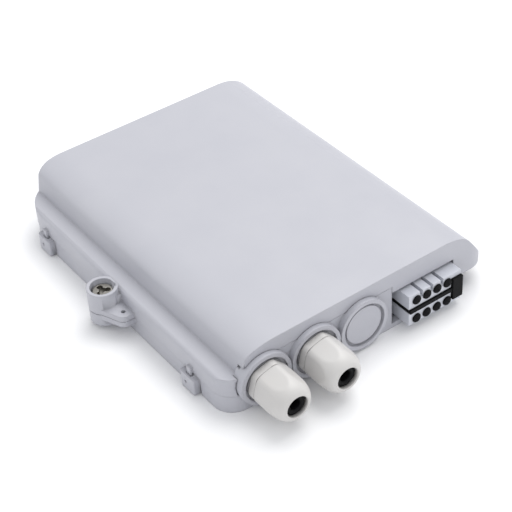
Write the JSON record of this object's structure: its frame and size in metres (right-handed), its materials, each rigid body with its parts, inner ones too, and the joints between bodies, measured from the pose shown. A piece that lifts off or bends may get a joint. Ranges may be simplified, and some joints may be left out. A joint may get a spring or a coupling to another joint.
{
  "type": "fiber termination box",
  "caption": "Wall-mounted fiber termination box with a hinged cover, cable glands, a rubber-sealed drop outlet block and a splice tray.",
  "frame": {"origin": "middle of the flat wall face of the base (without ears, hinge and glands)", "axes": "+Z out of the wall towards the cover; the cable ports face -Y; -X is the lock side, +X the hinge side"},
  "size_m": [0.2121, 0.2617, 0.042],
  "materials": {
    "shell": "fine satin, light cool grey ABS",
    "gland": "satin, warm white nylon",
    "outlet": "satin white",
    "seal_rubber": "matt black",
    "gasket": "matt dark grey",
    "steel": "plain",
    "bolt": "dark",
    "brass": "plain",
    "tray": "satin white",
    "adapter": "blue",
    "sleeve": "clear to milky"
  },
  "bodies": {
    "base": {"base_shell": "shell", "gasket_frame": "gasket", "gasket_strip": "gasket", "hinge_pin_front": "steel", "hinge_pin_back": "steel", "tray_pin_front": "steel", "tray_pin_back": "steel", "adapter_bracket": "steel", "splitter_module": "steel", "clamp_screw_1": "steel", "clamp_screw_2": "steel", "clamp_screw_3": "steel", "clamp_screw_4": "steel", "lock_insert": "brass", "gland_1_washer": "seal_rubber", "gland_1_body": "gland", "gland_1_locknut": "gland", "gland_2_washer": "seal_rubber", "gland_2_body": "gland", "gland_2_locknut": "gland", "drop_housing_lower": "outlet", "drop_bung_lower_1": "seal_rubber", "drop_bung_lower_2": "seal_rubber", "drop_bung_lower_3": "seal_rubber", "drop_bung_lower_4": "seal_rubber", "drop_housing_upper": "outlet", "drop_bung_upper_1": "seal_rubber", "drop_bung_upper_2": "seal_rubber", "drop_bung_upper_3": "seal_rubber", "drop_bung_upper_4": "seal_rubber", "drop_seal_strip": "seal_rubber", "adapter_1": "adapter", "adapter_2": "adapter", "adapter_3": "adapter", "adapter_4": "adapter", "adapter_5": "adapter", "adapter_6": "adapter", "adapter_7": "adapter", "adapter_8": "adapter", "cable_clamp_1": "tray", "cable_clamp_2": "tray"},
    "cover": {"cover_shell": "shell"},
    "tray": {"splice_tray": "tray", "splice_holder": "seal_rubber", "splice_sleeve_1": "sleeve", "splice_sleeve_2": "sleeve", "splice_sleeve_3": "sleeve", "splice_sleeve_4": "sleeve", "splice_sleeve_5": "sleeve", "splice_sleeve_6": "sleeve", "splice_sleeve_7": "sleeve", "splice_sleeve_8": "sleeve"},
    "lock_washer_ring": {"lock_washer": "steel"},
    "lock_screw": {"lock_bolt": "bolt"},
    "gland_1_plug": {"gland_1_seal": "seal_rubber"},
    "gland_1_nut": {"gland_1_dome_nut": "gland"},
    "gland_2_plug": {"gland_2_seal": "seal_rubber"},
    "gland_2_nut": {"gland_2_dome_nut": "gland"}
  },
  "joints": [
    {"name": "cover_hinge", "type": "hinge", "parent": "base", "child": "cover", "pos_m": [0.092, 0, 0.008], "axis": [0, 1, 0], "range_deg": [0, 90]},
    {"name": "tray_hinge", "type": "hinge", "parent": "base", "child": "tray", "pos_m": [0.0664, 0.046, 0.018], "axis": [0, 1, 0], "range_deg": [0, 45]},
    {"name": "lock_lift", "type": "slide", "parent": "cover", "child": "lock_washer_ring", "axis": [0, 0, 1], "range_m": [0, 0.007]},
    {"name": "lock_turn", "type": "hinge", "parent": "lock_washer_ring", "child": "lock_screw", "pos_m": [-0.1025, 0, 0.02], "axis": [0, 0, 1], "range_deg": [0, 2520]},
    {"name": "gland_1_seal_slide", "type": "slide", "parent": "base", "child": "gland_1_plug", "axis": [0, -1, 0], "range_m": [0, 0.0042]},
    {"name": "gland_1_nut_turn", "type": "hinge", "parent": "gland_1_plug", "child": "gland_1_nut", "pos_m": [-0.0693, -0.13, 0.0186], "axis": [0, -1, 0], "range_deg": [0, 1080]},
    {"name": "gland_2_seal_slide", "type": "slide", "parent": "base", "child": "gland_2_plug", "axis": [0, -1, 0], "range_m": [0, 0.0042]},
    {"name": "gland_2_nut_turn", "type": "hinge", "parent": "gland_2_plug", "child": "gland_2_nut", "pos_m": [-0.0345, -0.13, 0.0186], "axis": [0, -1, 0], "range_deg": [0, 1080]}
  ],
  "couplings": [
    {"joint": "tray_hinge", "follows": "cover_hinge", "ratio": 0.5},
    {"joint": "lock_lift", "follows": "lock_turn", "m_per_rad": 0.00015915},
    {"joint": "gland_1_seal_slide", "follows": "gland_1_nut_turn", "m_per_rad": 0.00022282},
    {"joint": "gland_2_seal_slide", "follows": "gland_2_nut_turn", "m_per_rad": 0.00022282}
  ]
}
